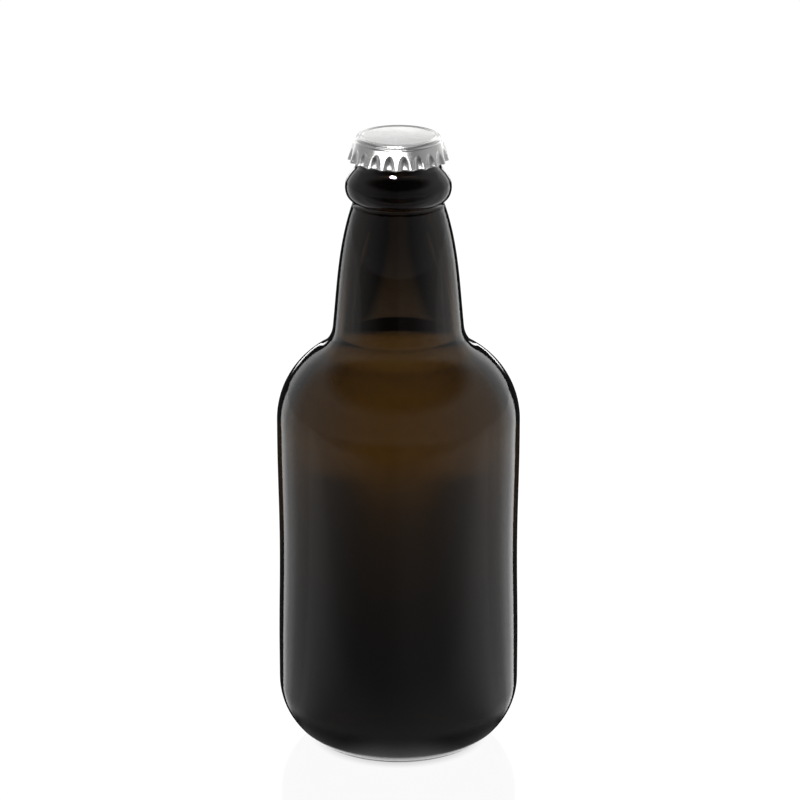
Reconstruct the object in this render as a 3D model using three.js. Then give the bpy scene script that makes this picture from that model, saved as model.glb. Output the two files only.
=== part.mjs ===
// A short amber glass beer bottle, full of beer and shut by a crimped crown cap.
// Millimetres, +Z up, front towards -Y. The origin is the centre of the base, on the plane it stands on.
import * as THREE from "three";

// Driving dimensions

const BODY = { radius: 35, waistDepth: 0.4, waistFrom: 28, waistTo: 93.5 };
const HEEL = { radius: 19.6, turn: 67, rollRadius: 4, insideRadius: 14 };
const BASE = { ringWidth: 2.4, pushUp: 3.6, thickness: 6.5, middleThickness: 6 };
const SHOULDER = { height: 98.3, radius: 24.1, slope: 59.1, filletRadius: 9.4 };
const NECK = { footLean: 5.8, headLean: 18.5, headRadius: 13.2, headHeight: 162, edgeRadius: 0.4 };
const COLLAR = { grooveRadius: 12.6, radius: 15.1, height: 167.5, underside: 3.75, flank: 6.4 };
const FLANK_HANDLES = { low: 3.2, high: 1.9 }; // how far the collar's flank stays upright at each end
const FINISH = { throatRadius: 12.05, lipHeight: 181.5, lipRound: 2.2 };
const GRIP_RING = { radius: 12.35, height: 177.6, ramp: 1 };
const BORE = { radius: 8.4, round: 1.2, height: 166 };
const WALL = { heel: 4.36, shoulder: 3, neckHead: 4 };
const BEER = { level: 125, clearance: 0.3 };
const CAP = { height: 6.9, rimRadius: 14.35, rimHeight: 175.5, skirtLean: 17.8, edgeRound: 1.35 };
const SHEET = { skirt: 0.42, panel: 0.6 };
const FLUTE = { count: 21, height: 4.6, depth: 1, turned: -2.2 };
// A low breadth widens the hollows, and a high swell keeps their tops shallow
const FLUTE_FORM = { breadth: 0.7, swell: 1.3 };
const FLUTE_ROWS = [0, 0.3, 0.65, 1]; // rows of points up the fluted skirt, as shares of its height

const ROUND_STEPS = 44; // flats round the glass and the beer
const FLUTE_STEPS = 6; // flats round each flute of the cap
const ARC_STEP = 15; // degrees of arc for each flat along an outline
const CURVE_STEPS = 5; // flats along every other curve of an outline
const SAME_POINT = 0.02; // outline points closer than this count as one

// Colours seen in the photo

const AMBER_GLASS = 0x2b1a0b;
const AMBER_BEER = 0x8a4b12;
const BRIGHT_TIN = 0xc9cacb;

// Outlines are lists of points of radius and height

const point = (radius, height) => new THREE.Vector2(radius, height);
const radians = THREE.MathUtils.degToRad;

function arc(centre, radius, from, to) {
  const steps = Math.ceil(Math.abs(to - from) / ARC_STEP);
  return ellipse(centre, radius, radius, from, to, steps);
}

function ellipse(centre, reach, rise, from, to, steps = CURVE_STEPS) {
  const clockwise = to < from;
  const curve = new THREE.EllipseCurve(
    centre.x, centre.y, reach, rise, radians(from), radians(to), clockwise);
  return curve.getPoints(steps);
}

function bezier(start, leaveBy, arriveBy, end) {
  return new THREE.CubicBezierCurve(start, leaveBy, arriveBy, end).getPoints(CURVE_STEPS);
}

// A wall that leans inwards by one angle at its foot and another at its head
function leaningWall(foot, footLean, head, headLean) {
  const third = (head.y - foot.y) / 3;
  const leaveBy = point(foot.x - Math.tan(radians(footLean)) * third, foot.y + third);
  const arriveBy = point(head.x + Math.tan(radians(headLean)) * third, head.y - third);
  return bezier(foot, leaveBy, arriveBy, head);
}

// A point at an angle on a circle about a centre
function onCircle(centre, radius, angle) {
  return point(
    centre.x + radius * Math.cos(radians(angle)),
    centre.y + radius * Math.sin(radians(angle)));
}

// Centres of the arcs of the glass

const heelReach = HEEL.radius - HEEL.rollRadius;
const heelCentre = point(
  BODY.radius - HEEL.radius,
  HEEL.rollRadius + heelReach * Math.sin(radians(HEEL.turn)));
const rollCentre = onCircle(heelCentre, heelReach, -HEEL.turn);
const shoulderCentre = point(BODY.radius - SHOULDER.radius, SHOULDER.height);
const filletCentre = onCircle(shoulderCentre, SHOULDER.radius + SHOULDER.filletRadius, SHOULDER.slope);
const insideHeelCentre = point(
  BODY.radius - WALL.heel - HEEL.insideRadius,
  BASE.thickness + HEEL.insideRadius);

// The shallow hollow under the base, out to the flat ring that the bottle stands on
function underside() {
  const ringInner = rollCentre.x - BASE.ringWidth;
  const middle = point(0, BASE.pushUp);
  const leaveBy = point(ringInner / 2, BASE.pushUp);
  const arriveBy = point(ringInner, BASE.pushUp / 4);
  return bezier(middle, leaveBy, arriveBy, point(ringInner, 0));
}

// The side wall, drawn in very slightly at the middle
function side() {
  const wall = [];
  for (let i = 0; i <= CURVE_STEPS; i += 1) {
    const drawnIn = BODY.waistDepth * Math.sin((Math.PI * i) / CURVE_STEPS) ** 2;
    const height = THREE.MathUtils.lerp(BODY.waistFrom, BODY.waistTo, i / CURVE_STEPS);
    wall.push(point(BODY.radius - drawnIn, height));
  }
  return wall;
}

// The bulging neck, ending in a narrow edge
function neck() {
  const foot = onCircle(filletCentre, SHOULDER.filletRadius, 180 + NECK.footLean);
  const head = point(NECK.headRadius, NECK.headHeight);
  const edgeCentre = point(head.x - NECK.edgeRadius, head.y);
  return [
    ...leaningWall(foot, NECK.footLean, head, NECK.headLean),
    ...arc(edgeCentre, NECK.edgeRadius, 0, 90),
  ];
}

// The rounded collar above the groove, with a flank that runs up under the cap
function collar() {
  const grooveCentre = point(COLLAR.grooveRadius, COLLAR.height);
  const bulge = COLLAR.radius - COLLAR.grooveRadius;
  const widest = point(COLLAR.radius, COLLAR.height);
  const throat = point(FINISH.throatRadius, COLLAR.height + COLLAR.flank);
  const leaveBy = point(widest.x, widest.y + FLANK_HANDLES.low);
  const arriveBy = point(throat.x, throat.y - FLANK_HANDLES.high);
  return [
    ...ellipse(grooveCentre, bulge, COLLAR.underside, -90, 0),
    ...bezier(widest, leaveBy, arriveBy, throat),
  ];
}

// The ring that the cap grips, the lip that it seals on and the edge of the bore
function mouth() {
  const lipCentre = point(GRIP_RING.radius - FINISH.lipRound, FINISH.lipHeight - FINISH.lipRound);
  const boreCentre = point(BORE.radius + BORE.round, FINISH.lipHeight - BORE.round);
  return [
    point(FINISH.throatRadius, GRIP_RING.height - GRIP_RING.ramp),
    point(GRIP_RING.radius, GRIP_RING.height),
    ...arc(lipCentre, FINISH.lipRound, 0, 90),
    ...arc(boreCentre, BORE.round, 90, 180),
  ];
}

// The inside of the glass from the bore down to the axis, drawn in by a clearance.
// The wall is thicker at the heel than at the shoulder, as blown glass is.
function inside(clearance) {
  const wall = WALL.shoulder + clearance;
  const filletRadius = SHOULDER.filletRadius + wall;
  const foot = onCircle(filletCentre, filletRadius, 180 + NECK.footLean);
  const head = point(NECK.headRadius - WALL.neckHead - clearance, NECK.headHeight - WALL.neckHead);
  const heelFoot = point(insideHeelCentre.x, BASE.thickness + clearance);
  const middle = point(0, BASE.pushUp + BASE.middleThickness + clearance);
  const half = heelFoot.x / 2;
  return [
    point(BORE.radius - clearance, BORE.height),
    ...leaningWall(foot, NECK.footLean, head, NECK.headLean).reverse(),
    ...arc(filletCentre, filletRadius, 180 + NECK.footLean, 180 + SHOULDER.slope),
    ...arc(shoulderCentre, SHOULDER.radius - wall, SHOULDER.slope, 0),
    ...arc(insideHeelCentre, HEEL.insideRadius - clearance, 0, -90),
    ...bezier(heelFoot, point(half, heelFoot.y), point(half, middle.y), middle),
  ];
}

function glassOutline() {
  return [
    ...underside(),
    ...arc(rollCentre, HEEL.rollRadius, -90, -HEEL.turn),
    ...arc(heelCentre, HEEL.radius, -HEEL.turn, 0),
    ...side(),
    ...arc(shoulderCentre, SHOULDER.radius, 0, SHOULDER.slope),
    ...arc(filletCentre, SHOULDER.filletRadius, 180 + SHOULDER.slope, 180 + NECK.footLean),
    ...neck(),
    ...collar(),
    ...mouth(),
    ...inside(0),
  ];
}

// The beer fills the inside up to its level
function beerOutline() {
  const wall = inside(BEER.clearance);
  const first = wall.findIndex((p) => p.y < BEER.level);
  const above = wall[first - 1];
  const below = wall[first];
  const edge = above.clone().lerp(below, (above.y - BEER.level) / (above.y - below.y));
  return [point(0, BEER.level), edge, ...wall.slice(first)].reverse();
}

// The cap's outline runs through the ridges of its flutes
function capOutline() {
  const lean = Math.tan(radians(CAP.skirtLean));
  const top = CAP.rimHeight + CAP.height;
  const edgeHeight = top - CAP.edgeRound;
  const tangent = onCircle(point(0, edgeHeight), CAP.edgeRound, CAP.skirtLean);
  const skirtRadius = (height) => CAP.rimRadius - lean * (height - CAP.rimHeight);
  const edgeCentre = point(skirtRadius(tangent.y) - tangent.x, edgeHeight);
  const rows = FLUTE_ROWS.map((share) => CAP.rimHeight + FLUTE.height * share);
  const underside = top - SHEET.panel;
  return [
    point(0, underside),
    point(edgeCentre.x, underside),
    ...rows.map((height) => point(skirtRadius(height) - SHEET.skirt, height)).reverse(),
    ...rows.map((height) => point(skirtRadius(height), height)),
    ...arc(edgeCentre, CAP.edgeRound, CAP.skirtLean, 90),
    point(0, top),
  ];
}

// Solids

function turned(outline, steps) {
  const clean = outline.filter((p, i) => i === 0 || p.distanceTo(outline[i - 1]) > SAME_POINT);
  return new THREE.LatheGeometry(clean, steps).rotateX(Math.PI / 2);
}

// Presses hollows into the skirt, deepest at the rim and narrowing to nothing above
function fluted(geometry) {
  const position = geometry.attributes.position;
  const vertex = new THREE.Vector3();
  for (let i = 0; i < position.count; i += 1) {
    vertex.fromBufferAttribute(position, i);
    const radius = Math.hypot(vertex.x, vertex.y);
    const below = (CAP.rimHeight + FLUTE.height - vertex.z) / FLUTE.height;
    if (below > 0) {
      const turn = Math.atan2(vertex.x, -vertex.y);
      const hollow = Math.sin((FLUTE.count * turn) / 2) ** 2;
      const pressed = FLUTE.depth * hollow ** FLUTE_FORM.breadth * below ** FLUTE_FORM.swell;
      const scale = 1 - pressed / radius;
      position.setXYZ(i, vertex.x * scale, vertex.y * scale, vertex.z);
    }
  }
  return geometry.rotateZ(radians(FLUTE.turned));
}

function piece(name, geometry, colour, finish) {
  geometry.computeVertexNormals();
  const mesh = new THREE.Mesh(geometry, new THREE.MeshStandardMaterial({ color: colour, ...finish }));
  mesh.name = name;
  return mesh;
}

const bottle = new THREE.Group();
bottle.name = "crown_cap_beer_bottle";
bottle.add(piece("bottle_glass", turned(glassOutline(), ROUND_STEPS), AMBER_GLASS, { roughness: 0.05 }));
bottle.add(piece("beer", turned(beerOutline(), ROUND_STEPS), AMBER_BEER, { roughness: 0.05 }));
bottle.add(piece(
  "crown_cap",
  fluted(turned(capOutline(), FLUTE.count * FLUTE_STEPS)),
  BRIGHT_TIN,
  { roughness: 0.3, metalness: 1 }));

export default bottle;
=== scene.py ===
# %% [markdown]
# A short amber beer bottle, shut by a crimped crown cap, is built here on a fixed frame: the plain solids
# of the glass, the beer and the cap. They say where everything is and how large it is. This lesson
# replaces each of them by a finer mesh of the same form, gives it its finish, and lights it as a bottle
# is lit in a studio.

# %% Load the frame
import math

import bmesh
import bpy
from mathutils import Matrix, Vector
from mathutils.geometry import interpolate_bezier


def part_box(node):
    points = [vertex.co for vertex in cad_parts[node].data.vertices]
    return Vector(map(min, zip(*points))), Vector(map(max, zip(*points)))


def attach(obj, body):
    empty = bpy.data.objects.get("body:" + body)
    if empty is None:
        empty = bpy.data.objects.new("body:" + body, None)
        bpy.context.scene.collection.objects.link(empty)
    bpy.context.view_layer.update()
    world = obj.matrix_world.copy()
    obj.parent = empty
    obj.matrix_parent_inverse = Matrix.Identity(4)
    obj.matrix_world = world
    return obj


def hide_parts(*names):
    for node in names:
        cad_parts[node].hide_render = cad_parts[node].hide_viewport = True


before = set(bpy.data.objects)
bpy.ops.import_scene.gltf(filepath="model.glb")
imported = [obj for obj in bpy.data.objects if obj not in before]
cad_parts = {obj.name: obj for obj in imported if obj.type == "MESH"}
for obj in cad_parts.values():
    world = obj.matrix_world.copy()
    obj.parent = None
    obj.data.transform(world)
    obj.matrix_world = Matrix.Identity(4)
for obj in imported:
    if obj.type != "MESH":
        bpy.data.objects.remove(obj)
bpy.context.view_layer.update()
glass_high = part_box("bottle_glass")[1]
beer_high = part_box("beer")[1]
cap_low, cap_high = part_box("crown_cap")
print("frame:", sorted(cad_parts), "height", round(cap_high.z, 4), "m")

# %% [markdown]
# The camera comes first, because every later choice is judged through it. A photograph taken from well
# back with a long lens keeps the bottle's sides nearly parallel. The distance, height and lens here came
# from matching the outline of the bottle, and the aim lies a little above its middle because the
# photograph leaves more room above the cap than below the base.

# %% Camera
IMAGE_SIDE = 800  # pixels
FOCAL_PIXELS = 3637
SENSOR_WIDTH = 36  # millimetres
CAMERA_PLACE = Vector((0, -0.990, 0.442))
CAMERA_AIM = Vector((0.00045, 0, 0.1038))

lens = bpy.data.cameras.new("long_lens")
lens.sensor_width = SENSOR_WIDTH
lens.lens = lens.sensor_width * FOCAL_PIXELS / IMAGE_SIDE
camera = bpy.data.objects.new("camera", lens)
camera.location = CAMERA_PLACE
camera.rotation_euler = (CAMERA_AIM - CAMERA_PLACE).to_track_quat("-Z", "Y").to_euler()
bpy.context.scene.collection.objects.link(camera)
bpy.context.scene.camera = camera
looks_down = 90 - math.degrees(camera.rotation_euler.x)
print("camera: lens", round(lens.lens, 1), "mm, looking down by", round(looks_down, 1), "degrees")

# %% [markdown]
# A blown bottle is round, so all of it comes from one outline turned about the axis. The outline could be
# a curve object with a Screw modifier. A bmesh keeps it closer to the hand: a pen drags one vertex along
# by extruding it for straight runs and spinning it for arcs, and one full spin then turns the line into a
# body.

# %% A pen that draws outlines
MM = 0.001
MERGE_WITHIN = 0.001 * MM


class Pen:
    """Draws an outline in the plane of radius (x) and height (z), in metres."""

    def __init__(self, radius, height):
        self.bm = bmesh.new()
        self.tip = self.bm.verts.new((radius, 0, height))

    def line(self, radius, height):
        made = bmesh.ops.extrude_vert_indiv(self.bm, verts=[self.tip])
        self.tip = made["verts"][0]
        self.tip.co = (radius, 0, height)

    def arc(self, centre, degrees, steps):
        """Turns about a centre, anticlockwise where degrees is above zero."""
        made = bmesh.ops.spin(
            self.bm, geom=[self.tip], cent=(centre[0], 0, centre[1]), axis=(0, -1, 0),
            angle=math.radians(degrees), steps=steps)
        self.tip = next(v for v in made["geom_last"] if isinstance(v, bmesh.types.BMVert))

    def curve(self, leave_by, arrive_by, end, steps):
        """Follows a Bezier curve with two handles."""
        start = (self.tip.co.x, self.tip.co.z)
        knots = map(Vector, (start, leave_by, arrive_by, end))
        for radius, height in interpolate_bezier(*knots, steps + 1)[1:]:
            self.line(radius, height)

    def turned(self, steps):
        """The body that the outline sweeps in a full turn."""
        bm = self.bm
        bmesh.ops.spin(
            bm, geom=bm.verts[:] + bm.edges[:], cent=(0, 0, 0), axis=(0, 0, 1),
            angle=math.tau, steps=steps, use_merge=True)
        bmesh.ops.remove_doubles(bm, verts=bm.verts[:], dist=MERGE_WITHIN)
        bmesh.ops.recalc_face_normals(bm, faces=bm.faces[:])
        return bm


def on_circle(centre, radius, degrees):
    turn = math.radians(degrees)
    return (centre[0] + radius * math.cos(turn), centre[1] + radius * math.sin(turn))


print("pen: ready, in units of", MM, "m")

# %% [markdown]
# A bmesh is only a sketch until it is written to a mesh and the mesh is hung on an object. Each finished
# piece of the bottle is shaded smooth, hung under the root and takes the place of a solid of the frame,
# which is then hidden.

# %% From a sketch to a piece
def object_from(name, bm):
    mesh = bpy.data.meshes.new(name)
    bm.to_mesh(mesh)
    bm.free()
    made = bpy.data.objects.new(name, mesh)
    bpy.context.scene.collection.objects.link(made)
    print(name, len(mesh.polygons), "faces")
    return made


def finished(name, bm, node):
    """A smooth-shaded piece that stands for a node of the frame."""
    piece = object_from(name, bm)
    piece.data.shade_smooth()
    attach(piece, "root")
    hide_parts(node)
    return piece


# %% [markdown]
# The glass keeps the frame's own sizes: a rounded heel, a side that draws in by less than half a
# millimetre, a shoulder of one large arc, a small hollow arc into the neck, a neck that bulges, a groove
# and a collar. The wall is thicker low down than at the shoulder, as blown glass is, so the shoulder lets
# more light through.

# %% Sizes of the glass
BODY_RADIUS = glass_high.x
WAIST = {"depth": 0.4 * MM, "low": 28 * MM, "high": 93.5 * MM}
HEEL = {"radius": 19.6 * MM, "turn": 67, "roll": 4 * MM, "inside": 14 * MM}
BASE = {"ring": 2.4 * MM, "push_up": 3.6 * MM, "thickness": 6.5 * MM, "middle": 6 * MM}
SHOULDER = {"height": 98.3 * MM, "radius": 24.1 * MM, "slope": 59.1, "fillet": 9.4 * MM}
NECK = {"foot_lean": 5.8, "head_lean": 18.5, "radius": 13.2 * MM, "height": 162 * MM, "edge": 0.4 * MM}
COLLAR = {
    "groove": 12.6 * MM, "radius": 15.1 * MM, "height": 167.5 * MM, "under": 3.75 * MM, "flank": 6.4 * MM}
FLANK_HANDLES = {"low": 3.2 * MM, "high": 1.9 * MM}
THROAT_RADIUS = 12.05 * MM
GRIP_RING = {"radius": 12.35 * MM, "height": 177.6 * MM, "ramp": 1 * MM}
LIP = {"height": glass_high.z, "round": 2.2 * MM}
BORE = {"radius": 8.4 * MM, "round": 1.2 * MM, "height": 166 * MM}
WALL = {"heel": 4.36 * MM, "shoulder": 3 * MM, "neck_head": 4 * MM}

heel_reach = HEEL["radius"] - HEEL["roll"]
heel_rise = HEEL["roll"] + heel_reach * math.sin(math.radians(HEEL["turn"]))
heel_centre = (BODY_RADIUS - HEEL["radius"], heel_rise)
roll_centre = on_circle(heel_centre, heel_reach, -HEEL["turn"])
shoulder_centre = (BODY_RADIUS - SHOULDER["radius"], SHOULDER["height"])
fillet_centre = on_circle(shoulder_centre, SHOULDER["radius"] + SHOULDER["fillet"], SHOULDER["slope"])
inside_heel_centre = (BODY_RADIUS - WALL["heel"] - HEEL["inside"], BASE["thickness"] + HEEL["inside"])
wall_mm = [round(WALL[where] / MM, 2) for where in ("shoulder", "heel")]
print("glass:", round(2 * BODY_RADIUS / MM, 1), "mm across, wall", wall_mm, "mm")

# %% [markdown]
# One closed line goes up the outside, over the lip and down the inside, so the wall gets its thickness
# from the outline and not from a modifier. The outside starts in the middle of the hollow base. The steps
# are close enough for the smooth shading to hide them, and closest where the glass bends most.

# %% Outside of the glass
OUTER_STEPS = {
    "base": 16, "roll": 6, "heel": 18, "side": 24, "shoulder": 18, "fillet": 14, "neck": 24, "edge": 5}
MOUTH_STEPS = {"under": 12, "flank": 16, "lip": 8, "bore": 6}


def handles(foot, foot_lean, head, head_lean):
    """Handles of a wall that leans inwards by one angle at its foot and another at its head."""
    third = (head[1] - foot[1]) / 3
    leave_by = (foot[0] - math.tan(math.radians(foot_lean)) * third, foot[1] + third)
    arrive_by = (head[0] + math.tan(math.radians(head_lean)) * third, head[1] - third)
    return leave_by, arrive_by


def draw_outside(pen):
    steps = OUTER_STEPS
    ring_inner = roll_centre[0] - BASE["ring"]
    rise = WAIST["high"] - WAIST["low"]
    pen.curve(
        (ring_inner / 2, BASE["push_up"]), (ring_inner, BASE["push_up"] / 4), (ring_inner, 0), steps["base"])
    pen.line(roll_centre[0], 0)
    pen.arc(roll_centre, 90 - HEEL["turn"], steps["roll"])
    pen.arc(heel_centre, HEEL["turn"], steps["heel"])
    for i in range(steps["side"] + 1):
        drawn_in = WAIST["depth"] * math.sin(math.pi * i / steps["side"]) ** 2
        pen.line(BODY_RADIUS - drawn_in, WAIST["low"] + rise * i / steps["side"])
    pen.line(BODY_RADIUS, SHOULDER["height"])
    pen.arc(shoulder_centre, SHOULDER["slope"], steps["shoulder"])
    pen.arc(fillet_centre, NECK["foot_lean"] - SHOULDER["slope"], steps["fillet"])
    foot = (pen.tip.co.x, pen.tip.co.z)
    head = (NECK["radius"], NECK["height"])
    pen.curve(*handles(foot, NECK["foot_lean"], head, NECK["head_lean"]), head, steps["neck"])
    pen.arc((NECK["radius"] - NECK["edge"], NECK["height"]), 90, steps["edge"])


def draw_collar_and_mouth(pen):
    steps = MOUTH_STEPS
    bulge = COLLAR["radius"] - COLLAR["groove"]
    for i in range(steps["under"] + 1):
        turn = math.radians(-90 + 90 * i / steps["under"])
        height = COLLAR["height"] + COLLAR["under"] * math.sin(turn)
        pen.line(COLLAR["groove"] + bulge * math.cos(turn), height)
    top = COLLAR["height"] + COLLAR["flank"]
    pen.curve(
        (COLLAR["radius"], COLLAR["height"] + FLANK_HANDLES["low"]),
        (THROAT_RADIUS, top - FLANK_HANDLES["high"]), (THROAT_RADIUS, top), steps["flank"])
    pen.line(THROAT_RADIUS, GRIP_RING["height"] - GRIP_RING["ramp"])
    pen.line(GRIP_RING["radius"], GRIP_RING["height"])
    pen.line(GRIP_RING["radius"], LIP["height"] - LIP["round"])
    pen.arc((GRIP_RING["radius"] - LIP["round"], LIP["height"] - LIP["round"]), 90, steps["lip"])
    bore_edge = (BORE["radius"] + BORE["round"], LIP["height"] - BORE["round"])
    pen.line(bore_edge[0], LIP["height"])
    pen.arc(bore_edge, 90, steps["bore"])


pen = Pen(0, BASE["push_up"])
draw_outside(pen)
draw_collar_and_mouth(pen)
print("outside:", len(pen.bm.verts), "points")

# %% [markdown]
# The inside runs parallel to the outside at the shoulder and is simpler at the heel, where one arc meets
# a base that is thickest in the middle. Its lower part is a function of its own, because the beer follows
# it too.

# %% Inside of the glass
AROUND = 192  # steps of the full turn
INNER_STEPS = {"neck": 16, "fillet": 12, "shoulder": 16, "heel": 16, "base": 12}


def draw_inside_body(pen, into_wall=0):
    """From the shoulder down to the axis; into_wall widens it, for what fills the glass."""
    pen.arc(shoulder_centre, -SHOULDER["slope"], INNER_STEPS["shoulder"])
    pen.line(inside_heel_centre[0] + HEEL["inside"] + into_wall, inside_heel_centre[1])
    pen.arc(inside_heel_centre, -90, INNER_STEPS["heel"])
    half = pen.tip.co.x / 2
    middle = BASE["push_up"] + BASE["middle"] - into_wall
    pen.curve((half, pen.tip.co.z), (half, middle), (0, middle), INNER_STEPS["base"])


foot = on_circle(fillet_centre, SHOULDER["fillet"] + WALL["shoulder"], 180 + NECK["foot_lean"])
head = (NECK["radius"] - WALL["neck_head"], NECK["height"] - WALL["neck_head"])
leave_by, arrive_by = handles(foot, NECK["foot_lean"], head, NECK["head_lean"])
pen.line(BORE["radius"], BORE["height"])
pen.line(*head)
pen.curve(arrive_by, leave_by, foot, INNER_STEPS["neck"])
pen.arc(fillet_centre, SHOULDER["slope"] - NECK["foot_lean"], INNER_STEPS["fillet"])
draw_inside_body(pen)
bottle = finished("glass_bottle", pen.turned(AROUND), "bottle_glass")

# %% [markdown]
# The beer fills the bottle up to the foot of the neck. Drawn exactly as wide as the hollow it would leave
# a film of air that shines like a mirror, so the visible beer reaches 0.15 mm into the wall. Where the
# two overlap, light passes straight from glass to drink, as it does in a full bottle.

# %% Beer fill
INTO_WALL = 0.15 * MM
SURFACE_STEPS = 10
beer_level = beer_high.z
beer_arc = SHOULDER["fillet"] + WALL["shoulder"] - INTO_WALL
surface_turn = math.degrees(math.asin((fillet_centre[1] - beer_level) / beer_arc))

pen = Pen(0, beer_level)
pen.line(*on_circle(fillet_centre, beer_arc, 180 + surface_turn))
pen.arc(fillet_centre, SHOULDER["slope"] - surface_turn, SURFACE_STEPS)
draw_inside_body(pen, INTO_WALL)
beer = finished("beer_fill", pen.turned(AROUND), "beer")
print("beer: level", round(beer_level / MM, 1), "mm")

# %% [markdown]
# A crown cap is pressed from thin tinplate: a flat panel with a fine bead round it, a rounded edge with a
# crease below it, and a skirt that leans outwards to the rim. The sheet is drawn as one line, first its
# underside from the middle to the rim and then its upper side back again, and turned like the glass.

# %% Sheet of the crown cap
FLUTES = 21
STEPS_PER_FLUTE = 16
SKIRT_LEAN = 17.8
SKIRT_STEPS = 16
RIM = {"radius": 14.35 * MM, "rise": 0.1 * MM}  # the rise rounds the cut edge of the sheet
EDGE_ROUND = 1.35 * MM
EDGE_STEPS = {"under": 6, "crease": 6, "upper": 10}
SHEET = 0.32 * MM
CREASE = {"below": 0.5 * MM, "depth": 0.3 * MM, "ends": 22}  # between the skirt and the rounded edge
BEAD = {"radius": 10.4 * MM, "breadth": 0.55 * MM, "height": 0.16 * MM, "steps": 16}

rim_height = cap_low.z
lean = math.radians(SKIRT_LEAN)
edge_height = cap_high.z - EDGE_ROUND + EDGE_ROUND * math.sin(lean)
edge_radius = RIM["radius"] - math.tan(lean) * (edge_height - rim_height)
edge_centre = (edge_radius - EDGE_ROUND * math.cos(lean), cap_high.z - EDGE_ROUND)
edge_start = on_circle(edge_centre, EDGE_ROUND, CREASE["ends"])
skirt_top = edge_height - CREASE["below"]

pen = Pen(0, cap_high.z - SHEET)
pen.line(edge_centre[0], cap_high.z - SHEET)
pen.arc(edge_centre, SKIRT_LEAN - 90, EDGE_STEPS["under"])
inner_top = (pen.tip.co.x, pen.tip.co.z)
inner_rim = (RIM["radius"] - SHEET / math.cos(lean), rim_height + RIM["rise"])
for i in range(1, SKIRT_STEPS + 1):
    pen.line(*Vector(inner_top).lerp(Vector(inner_rim), i / SKIRT_STEPS))
pen.line(RIM["radius"] - SHEET / 2, rim_height)
for i in range(SKIRT_STEPS + 1):
    height = rim_height + RIM["rise"] + (skirt_top - rim_height - RIM["rise"]) * i / SKIRT_STEPS
    pen.line(RIM["radius"] - math.tan(lean) * (height - rim_height), height)
pen.curve(
    (pen.tip.co.x - CREASE["depth"], pen.tip.co.z + CREASE["below"] / 2),
    (edge_start[0] - CREASE["depth"] / 2, edge_start[1] - CREASE["below"] / 2),
    edge_start, EDGE_STEPS["crease"])
pen.arc(edge_centre, 90 - CREASE["ends"], EDGE_STEPS["upper"])
for i in range(BEAD["steps"] + 1):
    across = 1 - 2 * i / BEAD["steps"]
    raised = BEAD["height"] * math.cos(across * math.pi / 2) ** 2
    pen.line(BEAD["radius"] + across * BEAD["breadth"], cap_high.z - BEAD["height"] + raised)
pen.line(0, cap_high.z - BEAD["height"])
bm = pen.turned(FLUTES * STEPS_PER_FLUTE)
print("cap sheet:", len(bm.verts), "points")

# %% [markdown]
# The crimping tool presses 21 flutes into the skirt. Vertices are moved towards the axis here: each
# hollow is deepest at the rim and ends above in an arch, and the ridges between the hollows stay where
# they are.

# %% Flutes of the crown cap
FLUTE = {"height": 4.0 * MM, "depth": 1.0 * MM, "breadth": 0.80, "turned": -2.2, "roundness": 0.85}
SKIRT_FROM = 10 * MM  # the panel, nearer the axis, is left alone

for vert in bm.verts:
    up = (vert.co.z - rim_height) / FLUTE["height"]
    if up < 1 and vert.co.xy.length > SKIRT_FROM:
        turn = math.atan2(vert.co.x, -vert.co.y) - math.radians(FLUTE["turned"])
        across = 2 * (turn * FLUTES / math.tau % 1) - 1
        inside_arch = 1 - (across / FLUTE["breadth"]) ** 2 - max(up, 0) ** 2
        if inside_arch > 0:
            vert.co.xy *= 1 - FLUTE["depth"] * inside_arch ** FLUTE["roundness"] / vert.co.xy.length
bmesh.ops.recalc_face_normals(bm, faces=bm.faces[:])
cap = finished("crown_cap_sheet", bm, "crown_cap")

# %% [markdown]
# Materials are node graphs, and writing them out link by link hides the idea. The small class below wraps
# one socket, so that ordinary arithmetic on it adds the Math nodes, and one method adds any other node.

# %% A socket that can be reckoned with
class Wire:
    def __init__(self, tree, socket):
        self.tree = tree
        self.socket = socket

    def node(self, kind, settings=None, output=0, **inputs):
        """Any node: its type, its settings, and its inputs by name (Base_Color) or by number (i0)."""
        made = self.tree.nodes.new(kind)
        for key, value in (settings or {}).items():
            setattr(made, key, value)
        for key, value in inputs.items():
            number = key[1:]
            plug(made.inputs[int(number) if number.isdigit() else key.replace("_", " ")], value)
        return Wire(self.tree, made.outputs[output])

    def math(self, operation, *values):
        inputs = {f"i{i}": value for i, value in enumerate(values)}
        return self.node("ShaderNodeMath", {"operation": operation}, **inputs)

    def step(self, low, high, at_low=0.0, at_high=1.0):
        """Goes smoothly from one value to another while this one goes from low to high."""
        settings = {"interpolation_type": "SMOOTHSTEP"}
        return self.node("ShaderNodeMapRange", settings, i0=self, i1=low, i2=high, i3=at_low, i4=at_high)

    def mix(self, low, high):
        """A colour between two, this value being the share of the second."""
        return self.node("ShaderNodeMix", {"data_type": "RGBA"}, output=2, i0=self, i6=low, i7=high)

    def noise(self, scale, detail=2.0, roughness=0.5):
        return self.node(
            "ShaderNodeTexNoise", Vector=self, Scale=scale, Detail=detail, Roughness=roughness)

    def stretched(self, by):
        return self.node("ShaderNodeVectorMath", {"operation": "MULTIPLY"}, i0=self, i1=by)

    def bump(self, strength, distance):
        return self.node("ShaderNodeBump", Strength=strength, Distance=distance, Height=self)

    def __add__(self, other):
        return self.math("ADD", self, other)

    def __sub__(self, other):
        return self.math("SUBTRACT", self, other)

    def __mul__(self, other):
        return self.math("MULTIPLY", self, other)

    def __truediv__(self, other):
        return self.math("DIVIDE", self, other)

    def __radd__(self, other):
        return self.math("ADD", other, self)

    def __rsub__(self, other):
        return self.math("SUBTRACT", other, self)

    def __rmul__(self, other):
        return self.math("MULTIPLY", other, self)

    def __rtruediv__(self, other):
        return self.math("DIVIDE", other, self)


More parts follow.
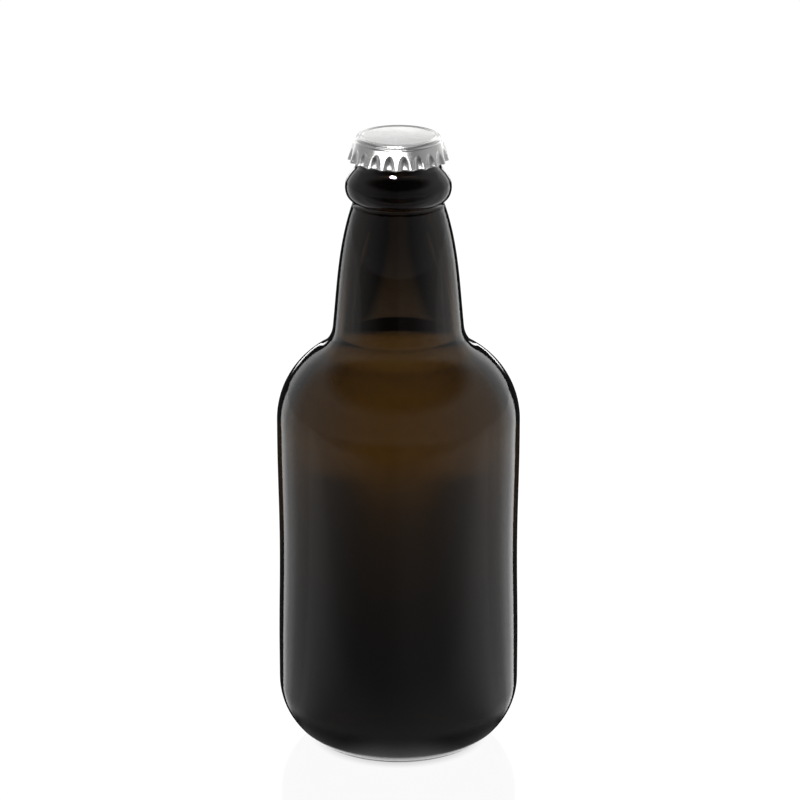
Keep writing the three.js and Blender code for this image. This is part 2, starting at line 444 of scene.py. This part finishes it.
def plug(socket, value):
    if isinstance(value, Wire):
        value.tree.links.new(value.socket, socket)
    else:
        socket.default_value = value


print("wire: arithmetic on a socket adds Math nodes")

# %% [markdown]
# Every material starts alike: an empty graph with its output and the coordinates that its patterns follow.
# Object coordinates are used, because they stay put on a piece however it is moved. The glass and the drink
# also share a clear body, whose colour is given as the light it keeps over a known depth.

# %% Empty graphs and clear bodies
def new_graph(owner, output_kind, coordinates):
    """Empties the node graph of a material or world; gives its output node and a wire of its coordinates."""
    owner.use_nodes = True
    tree = owner.node_tree
    tree.nodes.clear()
    output = tree.nodes.new(output_kind)
    place = Wire(tree, tree.nodes.new("ShaderNodeTexCoord").outputs[coordinates])
    return output, place


def new_material(name, piece):
    material = bpy.data.materials.new(name)
    piece.data.materials.append(material)
    print("material:", name, "on", piece.name)
    return new_graph(material, "ShaderNodeOutputMaterial", "Object")


def absorbing(place, kept, depth, density):
    """A clear body that keeps the given shares of red, green and blue over a depth in metres."""
    passed = [1 + math.log(share) / (depth * density) for share in kept]
    return place.node("ShaderNodeVolumeAbsorption", Color=(*passed, 1), Density=density)


# %% [markdown]
# Amber glass owes its colour to what it swallows along the way, so the colour belongs in the volume: thin
# wall glows brown, thick wall is nearly black. The surface itself is clear, with the faint waviness of
# blown glass and a little handling haze that shows mostly as a change of roughness.

# %% Amber glass
GLASS_INDEX = 1.52
GLASS_BODY = {"kept": (0.055, 0.036, 0.020), "depth": 6.6 * MM, "density": 620.0}
GLASS_ROUGH = {"clear": 0.004, "haze": 0.016}
CLEAR = (1, 1, 1, 1)
HAZED = (0.985, 0.98, 0.97, 1)
HAZE = {"scale": 38.0, "detail": 4.0, "roughness": 0.6}
HAZE_RANGE = (0.42, 0.75)
WAVES = {"scale": 55.0, "detail": 1.5}
WAVES_STRETCH = (1, 1, 0.35)
WAVES_BUMP = {"strength": 0.1, "distance": 0.00008}

output, place = new_material("amber_glass", bottle)
haze = place.noise(**HAZE).step(*HAZE_RANGE)
waves = place.stretched(WAVES_STRETCH).noise(**WAVES)
shader = place.node(
    "ShaderNodeBsdfPrincipled", Transmission_Weight=1.0, IOR=GLASS_INDEX,
    Base_Color=haze.mix(CLEAR, HAZED), Normal=waves.bump(**WAVES_BUMP),
    Roughness=GLASS_ROUGH["clear"] + GLASS_ROUGH["haze"] * haze)
plug(output.inputs["Surface"], shader)
plug(output.inputs["Volume"], absorbing(place, **GLASS_BODY))

# %% [markdown]
# Lager in a thick layer is deep gold. It also works by absorption, far weaker than the glass, and a slow
# drift of tint keeps it from being one flat colour.

# %% Lager
LAGER_INDEX = 1.34
LAGER_BODY = {"kept": (0.86, 0.64, 0.24), "depth": 60 * MM, "density": 30.0}
PALE = (1, 0.99, 0.96, 1)
DEEP = (0.97, 0.95, 0.90, 1)
DRIFT = {"scale": 24.0, "detail": 3.0}
DRIFT_STRETCH = (1, 1, 2.5)
DRIFT_RANGE = (0.3, 0.7)

output, place = new_material("lager", beer)
drift = place.stretched(DRIFT_STRETCH).noise(**DRIFT).step(*DRIFT_RANGE)
shader = place.node(
    "ShaderNodeBsdfPrincipled", Transmission_Weight=1.0, IOR=LAGER_INDEX,
    Base_Color=drift.mix(PALE, DEEP), Roughness=0.0)
plug(output.inputs["Surface"], shader)
plug(output.inputs["Volume"], absorbing(place, **LAGER_BODY))

# %% [markdown]
# Tinplate is rolled steel under a thin bright coat of tin and lacquer. Rolling leaves fine lines along
# one direction, drawn by noise that is stretched along X. The lines change the roughness and barely lift
# the surface.

# %% Bright tinplate
TIN_ROUGH = {"least": 0.17, "grain": 0.10, "cloud": 0.06}
BRIGHT = (0.80, 0.80, 0.79, 1)
DULL = (0.72, 0.72, 0.715, 1)
GRAIN = {"scale": 1.0, "detail": 3.0, "roughness": 0.6}
GRAIN_STRETCH = (40, 900, 900)
GRAIN_BUMP = {"strength": 0.12, "distance": 0.00002}
CLOUD = {"scale": 160.0, "detail": 3.0}
CLOUD_RANGE = (0.35, 0.7)

output, place = new_material("bright_tinplate", cap)
grain = place.stretched(GRAIN_STRETCH).noise(**GRAIN)
cloud = place.noise(**CLOUD).step(*CLOUD_RANGE)
shader = place.node(
    "ShaderNodeBsdfPrincipled", Metallic=1.0,
    Base_Color=cloud.mix(BRIGHT, DULL), Normal=grain.bump(**GRAIN_BUMP),
    Roughness=TIN_ROUGH["least"] + TIN_ROUGH["grain"] * grain + TIN_ROUGH["cloud"] * cloud)
plug(output.inputs["Surface"], shader)

# %% [markdown]
# A dark bottle on white is lit by what it mirrors. The floor and the sky round the bottle carry that:
# softboxes stand at the sides, and dark cards between them and the view draw the edges. Both are written
# as light that depends on the angle from straight behind the bottle. Seen directly, the floor and the
# background stay plain.

# %% Studio light as a function of direction
DEGREES = 180 / math.pi
DARK = 0.02
BOX = {"starts": (33, 36.5), "light": 1.35, "fade": (38, 54), "faded": 0.62, "end": (54, 76), "ended": 0.27}
FRONT_FADE = {"range": (85, 165), "faded": 0.32}
SIDES = {"range": (-0.03, 0.03), "left": 0.86, "right": 1.16}


def split(place):
    """The x, y and z of a place or direction."""
    return [place.node("ShaderNodeSeparateXYZ", None, i, i0=place) for i in range(3)]


def from_behind(x, y, half=0.0):
    """The angle from straight behind, in degrees, measured past a half width."""
    aside = x.math("MAXIMUM", x.math("ABSOLUTE", x) - half, 0.0)
    return x.math("ARCTAN2", aside, y) * DEGREES


def side_light(x, angle):
    """A softbox at each side, the right one stronger, past a dark card, with a long fade to the front."""
    faded = BOX["light"] - angle.step(*BOX["fade"], 0, BOX["faded"])
    box = angle.step(*BOX["starts"]) * (faded - angle.step(*BOX["end"], 0, BOX["ended"]))
    front = angle.step(*FRONT_FADE["range"], 0, FRONT_FADE["faded"])
    return DARK + (box - front) * x.step(*SIDES["range"], SIDES["left"], SIDES["right"])


print("softboxes: from", BOX["starts"][0], "degrees off the line behind the bottle")

# %% [markdown]
# The floor is a wide disc that gives light instead of taking it, so no lamp has to whiten it. What the
# camera sees is white with a soft touch of shade under the base, and a thin gloss that mirrors the
# bottle. What the glass sees is a pattern: a strip of light behind, two patches farther back, and dimmer
# ground close to the heel.

# %% Floor
FLOOR = {"radius": 4.0, "sides": 64, "drop": 0.0001}
FLOOR_GLOSS = {"share": 0.05, "roughness": 0.06}
STRIP = {"from": (0.30, 0.42), "edge": (0.025, 0.065), "light": 0.34}  # behind, seen through the glass
PATCH = {"from": (0.95, 1.15), "inner": (0.065, 0.09), "outer": (16, 21), "light": 2.4}  # one at each side
RING = {"inner": (0.0240, 0.0250), "outer": (0.0262, 0.0280), "light": 1.2}  # the pale line under the heel
POOL = {"edge": (0.030, 0.046), "side": (0.006, 0.022), "light": 0.34}  # lights the front of the heel
LIFT = {"from": (-0.11, -0.05), "light": 0.08}  # before the bottle
DIM = {"to": (-0.34, -0.24), "loss": 0.11}  # farther to the front
BEFORE_AXIS = (-0.01, 0.0)
NEAR_HEEL = {"range": (0.036, 0.047), "kept": 0.15}
CONTACT = {"range": (0.0215, 0.027), "shade": 0.3}

bm = bmesh.new()
bmesh.ops.create_circle(bm, cap_ends=True, segments=FLOOR["sides"], radius=FLOOR["radius"])
floor = object_from("floor", bm)
floor.location.z = -FLOOR["drop"]

output, place = new_material("studio_floor", floor)
seen = place.node("ShaderNodeLightPath", output="Is Camera Ray")
x, y, _ = split(place)
angle = from_behind(x, y, BODY_RADIUS)
far = x.math("SQRT", x * x + y * y)
aside = x.math("ABSOLUTE", x)
before = y.step(*BEFORE_AXIS, 1, 0)
strip = y.step(*STRIP["from"], 0, STRIP["light"]) * aside.step(*STRIP["edge"], 1, 0)
patch_edge = angle.step(*PATCH["outer"], PATCH["light"], 0)
patches = y.step(*PATCH["from"]) * aside.step(*PATCH["inner"]) * patch_edge
ring = far.step(*RING["inner"]) * far.step(*RING["outer"], RING["light"], 0)
pool = far.step(*POOL["edge"], POOL["light"], 0) * aside.step(*POOL["side"], 1, 0) * before
front = y.step(*LIFT["from"], 0, LIFT["light"]) * before - y.step(*DIM["to"], DIM["loss"], 0)
sides = side_light(x, angle) * far.step(*NEAR_HEEL["range"], NEAR_HEEL["kept"], 1)
look = strip + patches + sides + ring + pool + front
white = 1 - far.step(*CONTACT["range"], CONTACT["shade"], 0)
light = place.node("ShaderNodeEmission", Color=seen * white + (1 - seen) * look)
gloss = place.node("ShaderNodeBsdfGlossy", Roughness=FLOOR_GLOSS["roughness"])
shader = place.node("ShaderNodeMixShader", i0=seen * FLOOR_GLOSS["share"], i1=light, i2=gloss)
plug(output.inputs["Surface"], shader)

# %% [markdown]
# Behind a bottle of dark glass a photographer hides a small reflector card, cut narrower than the bottle,
# and the drink carries its light forward. A round bottle of liquid is a strong lens, so a card a finger
# wide fills half the body. This one is widest and brightest level with the shoulder's glow and fades
# downwards and to its sides.

# %% Reflector card
CARD = {"behind": 0.050, "low": 0.012, "neck": 0.066, "wide": 0.073, "high": 0.100}
CARD_HALF = {"narrow": 0.0055, "wide": 0.0105}
CARD_LOW = {"range": (0.016, 0.048), "from": 0.03, "to": 0.15}
CARD_MIDDLE = {"range": (0.044, 0.068), "light": 0.20}
CARD_HIGH = {"range": (0.057, 0.080), "light": 0.65}
CARD_SOFT = (0.25, 1.0)  # shares of the half width between which the light fades out

outline = [
    (CARD_HALF["narrow"], CARD["low"]), (CARD_HALF["narrow"], CARD["neck"]),
    (CARD_HALF["wide"], CARD["wide"]), (CARD_HALF["wide"], CARD["high"])]
bm = bmesh.new()
right = [bm.verts.new((half, CARD["behind"], height)) for half, height in outline]
left = [bm.verts.new((-half, CARD["behind"], height)) for half, height in outline]
for i in range(len(outline) - 1):
    bm.faces.new((right[i], right[i + 1], left[i + 1], left[i]))
card = object_from("reflector_card", bm)
card.visible_camera = False

output, place = new_material("reflector_card", card)
x, _, z = split(place)
low = z.step(*CARD_LOW["range"], CARD_LOW["from"], CARD_LOW["to"])
middle = z.step(*CARD_MIDDLE["range"], 0, CARD_MIDDLE["light"])
high = z.step(*CARD_HIGH["range"], 0, CARD_HIGH["light"])
broad = z.step(CARD["neck"], CARD["wide"], CARD_HALF["narrow"], CARD_HALF["wide"])
soft = (x.math("ABSOLUTE", x) / broad).step(*CARD_SOFT, 1, 0)
plug(output.inputs["Surface"], place.node("ShaderNodeEmission", Color=(low + middle + high) * soft))
print("reflector card:", round(CARD["behind"] / MM), "mm behind the axis")

# %% [markdown]
# The sky round the set holds the same softboxes, here by the angle off the camera's own line, and a dark
# ceiling that keeps the neck and the shoulder from turning grey. To the camera it is an even pale grey.

# %% Background
SKY_GREY = (0.8, 0.8, 0.8, 1)
CEILING = {"range": (0.55, 0.80), "kept": 0.12}
view_axis = (CAMERA_AIM - CAMERA_PLACE).normalized()
world = bpy.data.worlds.new("studio")
bpy.context.scene.world = world
output, place = new_graph(world, "ShaderNodeOutputWorld", "Generated")
seen = place.node("ShaderNodeLightPath", output="Is Camera Ray")
x, y, z = split(place)
off_axis = x.math("ARCCOSINE", view_axis.y * y + view_axis.z * z) * DEGREES
look = side_light(x, off_axis) * z.step(*CEILING["range"], 1, CEILING["kept"])
sky = place.node("ShaderNodeBackground", Color=SKY_GREY, Strength=seen + (1 - seen) * look)
plug(output.inputs["Surface"], sky)
print("background: even to the camera, softboxes and ceiling to the bottle")

# %% [markdown]
# The cap is bright where the dark glass is not, so five lamps are linked to it alone: a broad softbox in
# front whitens the middle of the skirt, softboxes behind and overhead fill the panel, a strip draws the
# fine lines along the rounded edge, and a low card behind brightens the far edge. A pin spot, linked to
# the glass, sets the one sparkle under the cap's rim. Its narrow cone misses the bulge of the collar,
# which would mirror it a second time. The last lamp is linked to the floor, where the gloss mirrors it.

# %% Lamps
def lamp(name, place, aim, watts, piece, **settings):
    """An area lamp that the camera doesn't see and that lights a single piece."""
    light = bpy.data.lights.new(name, "AREA")
    light.energy = watts
    for key, value in settings.items():
        setattr(light, key, value)
    holder = bpy.data.objects.new(name, light)
    holder.location = place
    holder.rotation_euler = (Vector(aim) - Vector(place)).to_track_quat("-Z", "Y").to_euler()
    holder.visible_camera = False
    bpy.context.scene.collection.objects.link(holder)
    lit = bpy.data.collections.new("lit_by_" + name)
    lit.objects.link(piece)
    holder.light_linking.receiver_collection = lit
    print(name, watts, "W on", piece.name)


CAP_MIDDLE = (0, 0, 0.179)
SPARKLE = (-0.0019, -0.0120, 0.1749)
FLOOR_AIM = (0, 0, 0.1)
PIN_SPREAD = math.radians(16)

lamp("front_softbox", (-0.19, -0.55, 0.38), CAP_MIDDLE, 2.6, cap, shape="ELLIPSE", size=1.0, size_y=0.24)
lamp("back_softbox", (0, 0.60, 0.36), CAP_MIDDLE, 0.46, cap, shape="RECTANGLE", size=1.0, size_y=0.36)
lamp("overhead_softbox", (0, 0.15, 1.2), CAP_MIDDLE, 1.7, cap, shape="RECTANGLE", size=1.2, size_y=1.2)
lamp("overhead_strip", (-0.06, -0.16, 0.72), CAP_MIDDLE, 2.0, cap, shape="RECTANGLE", size=0.16, size_y=0.10)
lamp("low_card", (0, 0.34, 0.03), CAP_MIDDLE, 0.7, cap, shape="RECTANGLE", size=0.7, size_y=0.45)
lamp("pin_spot", (-0.0067, -0.0295, 0.1792), SPARKLE, 0.03, bottle,
     shape="DISK", size=0.007, spread=PIN_SPREAD)
lamp("floor_sheen", (0, 3.4, 0.9), FLOOR_AIM, 130.0, floor, shape="RECTANGLE", size=7.0, size_y=3.4)

# %% [markdown]
# Last come the settings that touch the whole picture. The plain colour transform keeps a white floor
# white, and glass in glass needs more bounces than the usual dozen. The clamp on indirect light is set
# high enough for the sparkle to stay white.

# %% Picture settings
scene = bpy.context.scene
scene.view_settings.view_transform = "Standard"
scene.cycles.max_bounces = 24
scene.cycles.transmission_bounces = 20
scene.cycles.glossy_bounces = 8
scene.cycles.caustics_reflective = False
scene.cycles.sample_clamp_indirect = 60
